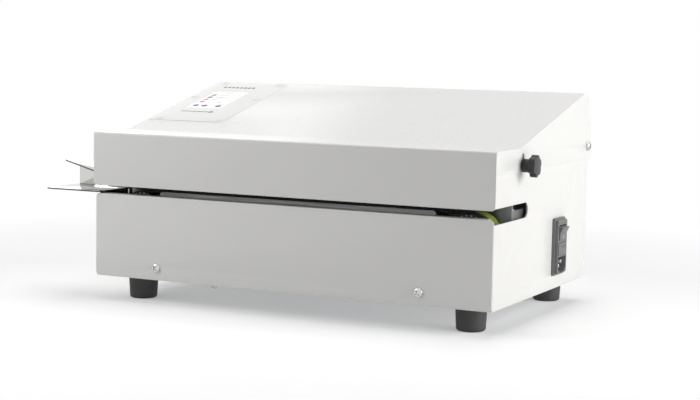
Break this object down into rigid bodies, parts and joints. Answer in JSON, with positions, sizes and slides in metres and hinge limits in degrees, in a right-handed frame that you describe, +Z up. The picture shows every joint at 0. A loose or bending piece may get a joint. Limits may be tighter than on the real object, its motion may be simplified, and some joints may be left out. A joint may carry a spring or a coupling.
{
  "type": "pouch heat sealer",
  "caption": "Counter-top continuous pouch sealer: sheet-steel casing with a full-width front slot, lifting lid with a touch screen, side tray, belt drive, pressure wheels and mains inlet.",
  "frame": {"origin": "middle of the whole outline in plan, at the underside of the feet", "axes": "+X to the right as seen from the front, the way a pouch travels; +Y from the front panel to the rear; +Z up"},
  "size_m": [0.5284, 0.2854, 0.2268],
  "materials": {
    "white_paint": "white powder coat, fine texture",
    "bare_steel": "plain zinc-plated sheet",
    "polished_steel": "polished stainless sheet",
    "chrome": "bright plated",
    "black_rubber": "matte black",
    "green_tyre": "yellow-green polyurethane, satin",
    "black_belt": "black toothed belt, satin",
    "dark_plastic": "dark grey, fine grain",
    "ivory_plastic": "natural, satin",
    "aluminium": "machined",
    "brass": "machined",
    "bronze": "sintered bronze",
    "motor_paint": "dark grey lacquer",
    "circuit": "green solder resist",
    "glass_tube": "clear",
    "film": "printed polyester film, satin",
    "screen_glass": "glass over a lit display",
    "ceramic": "insulating board"
  },
  "bodies": {
    "casing": {"bottom_plate": "bare_steel", "base_shell": "white_paint", "lower_front_panel": "white_paint", "panel_screws": "chrome", "base_screws": "chrome", "foot_front_left": "black_rubber", "foot_front_right": "black_rubber", "foot_rear_left": "black_rubber", "foot_rear_right": "black_rubber", "foot_screws": "bare_steel", "inlet_housing": "dark_plastic", "inlet_pins": "bare_steel", "infeed_tray": "polished_steel", "infeed_guide": "polished_steel", "infeed_screws": "chrome", "mechanism_frame": "bare_steel", "frame_screws": "bare_steel", "front_bar": "polished_steel", "bar_pillars": "aluminium", "lower_belt_bed": "ivory_plastic", "upper_belt_bed": "ivory_plastic", "lower_belt": "black_belt", "upper_belt": "black_belt", "shaft_bushes": "bronze", "drive_motor": "motor_paint", "motor_bracket": "bare_steel", "lower_heater": "aluminium", "heater_pads": "ceramic", "heater_springs": "bare_steel", "heater_hanger": "bare_steel", "entry_sensor": "dark_plastic", "power_supply": "bare_steel", "control_board": "circuit", "board_pillars": "brass", "hinge_screws": "chrome", "knob_studs": "bare_steel"},
    "lid": {"lid_shell": "white_paint", "label_panel": "film", "touch_screen": "screen_glass", "display_board": "circuit"},
    "right_knob": {"right_knob": "dark_plastic"},
    "left_knob": {"left_knob": "dark_plastic"},
    "rocker": {"power_rocker": "dark_plastic"},
    "drawer": {"fuse_drawer": "dark_plastic", "fuses": "glass_tube"},
    "lower_drive": {"lower_drive_shaft": "bare_steel", "lower_drive_pulley": "aluminium", "pressure_wheel": "aluminium", "pressure_tyre": "green_tyre", "lower_gear": "brass"},
    "upper_drive": {"upper_drive_shaft": "bare_steel", "upper_drive_pulley": "aluminium", "pressure_roller": "polished_steel", "upper_gear": "brass"},
    "lower_idler": {"lower_idler_shaft": "bare_steel", "lower_idler_pulley": "aluminium"},
    "upper_idler": {"upper_idler_shaft": "bare_steel", "upper_idler_pulley": "aluminium"},
    "pinion": {"motor_pinion": "brass"},
    "upper_heater": {"upper_heater": "aluminium"}
  },
  "joints": [
    {"name": "lid_hinge", "type": "hinge", "parent": "casing", "child": "lid", "pos_m": [0.0218, 0.13055, 0.1698], "axis": [-1, 0, 0], "range_deg": [0, 78]},
    {"name": "right_knob_turn", "type": "hinge", "parent": "casing", "child": "right_knob", "pos_m": [0.2568, -0.07075, 0.1612], "axis": [1, 0, 0], "continuous": true},
    {"name": "left_knob_turn", "type": "hinge", "parent": "casing", "child": "left_knob", "pos_m": [-0.2132, -0.07075, 0.1612], "axis": [-1, 0, 0], "continuous": true},
    {"name": "power_switch", "type": "hinge", "parent": "casing", "child": "rocker", "pos_m": [0.2514, 0.04425, 0.0844], "axis": [0, -1, 0], "range_deg": [0, 28]},
    {"name": "fuse_drawer_slide", "type": "slide", "parent": "casing", "child": "drawer", "axis": [1, 0, 0], "range_m": [0, 0.016]},
    {"name": "drive_turn", "type": "hinge", "parent": "casing", "child": "lower_drive", "pos_m": [0.2093, -0.06175, 0.09025], "axis": [0, 1, 0], "continuous": true},
    {"name": "upper_drive_turn", "type": "hinge", "parent": "casing", "child": "upper_drive", "pos_m": [0.2093, -0.06175, 0.14175], "axis": [0, 1, 0], "continuous": true},
    {"name": "lower_idler_turn", "type": "hinge", "parent": "casing", "child": "lower_idler", "pos_m": [-0.1657, -0.06175, 0.09025], "axis": [0, 1, 0], "continuous": true},
    {"name": "upper_idler_turn", "type": "hinge", "parent": "casing", "child": "upper_idler", "pos_m": [-0.1657, -0.06175, 0.14175], "axis": [0, 1, 0], "continuous": true},
    {"name": "pinion_turn", "type": "hinge", "parent": "casing", "child": "pinion", "pos_m": [0.17067, -0.06175, 0.09025], "axis": [0, 1, 0], "continuous": true},
    {"name": "upper_heater_lift", "type": "slide", "parent": "casing", "child": "upper_heater", "axis": [0, 0, 1], "range_m": [0, 0.0015], "stiffness_N_per_m": 800, "springref_m": -0.004, "deforming": ["heater_springs"]}
  ],
  "couplings": [
    {"joint": "upper_drive_turn", "follows": "drive_turn", "ratio": -1},
    {"joint": "lower_idler_turn", "follows": "drive_turn", "ratio": 1},
    {"joint": "upper_idler_turn", "follows": "drive_turn", "ratio": -1},
    {"joint": "pinion_turn", "follows": "drive_turn", "ratio": -2}
  ]
}
